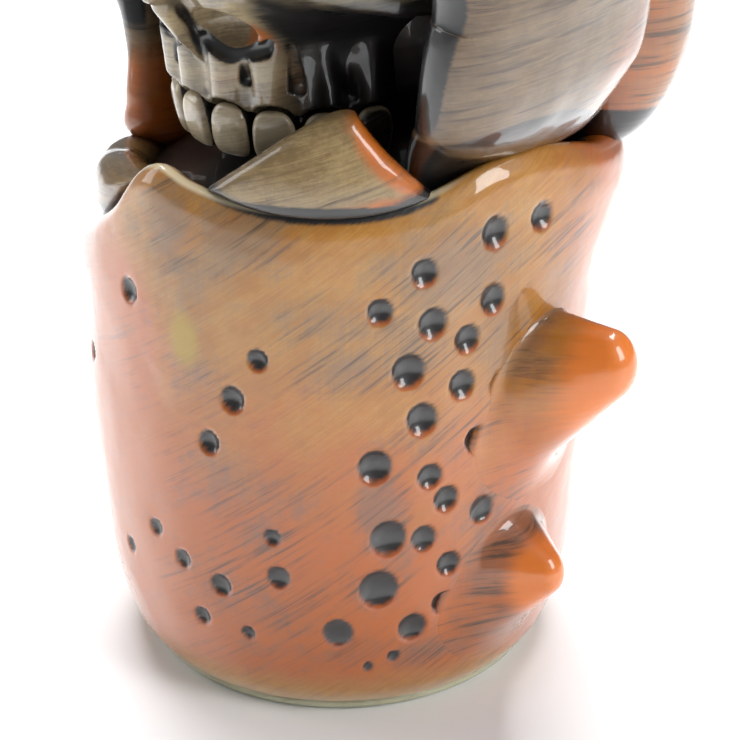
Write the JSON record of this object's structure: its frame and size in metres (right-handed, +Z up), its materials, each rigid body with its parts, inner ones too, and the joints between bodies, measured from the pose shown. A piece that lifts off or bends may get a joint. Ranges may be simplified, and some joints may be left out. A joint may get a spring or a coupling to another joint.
{
  "type": "tiki mug",
  "caption": "Ceramic tiki mug: a barrel-shaped crab-claw palm with pits and thorns holds a skull between two pincers, under a round drinking rim.",
  "frame": {"origin": "centre of the foot's flat underside, on the barrel's axis", "axes": "+Z up along the barrel's axis, the skull faces -Y, +X is the skull's left hand side"},
  "size_m": [0.121, 0.1019, 0.1775],
  "materials": {
    "raw_clay": "thin clear glaze over pale clay",
    "orange_glaze": "glossy clear glaze over brushed tan and orange with a dark wash",
    "tan_glaze": "glossy clear glaze over dry-brushed tan with a black wash",
    "bone_glaze": "glossy clear glaze over dry-brushed bone with a heavy black wash",
    "spike_glaze": "glossy bright orange glaze",
    "dark_glaze": "glossy black-brown glaze"
  },
  "bodies": {
    "root": {"foot_disc": "raw_clay", "barrel": "orange_glaze", "neck_wall": "dark_glaze", "drinking_rim": "dark_glaze", "skull": "bone_glaze", "petal": "tan_glaze", "knuckle": "tan_glaze", "tooth_1": "bone_glaze", "tooth_2": "bone_glaze", "tooth_3": "bone_glaze", "tooth_4": "bone_glaze", "tooth_5": "bone_glaze", "tooth_6": "bone_glaze", "tooth_7": "bone_glaze", "tooth_8": "bone_glaze", "right_pincer_pad": "tan_glaze", "right_pincer_back": "orange_glaze", "right_upper_spike": "spike_glaze", "right_lower_spike": "spike_glaze", "left_pincer_pad": "tan_glaze", "left_pincer_back": "orange_glaze", "left_upper_spike": "spike_glaze", "left_lower_spike": "spike_glaze"}
  },
  "joints": []
}
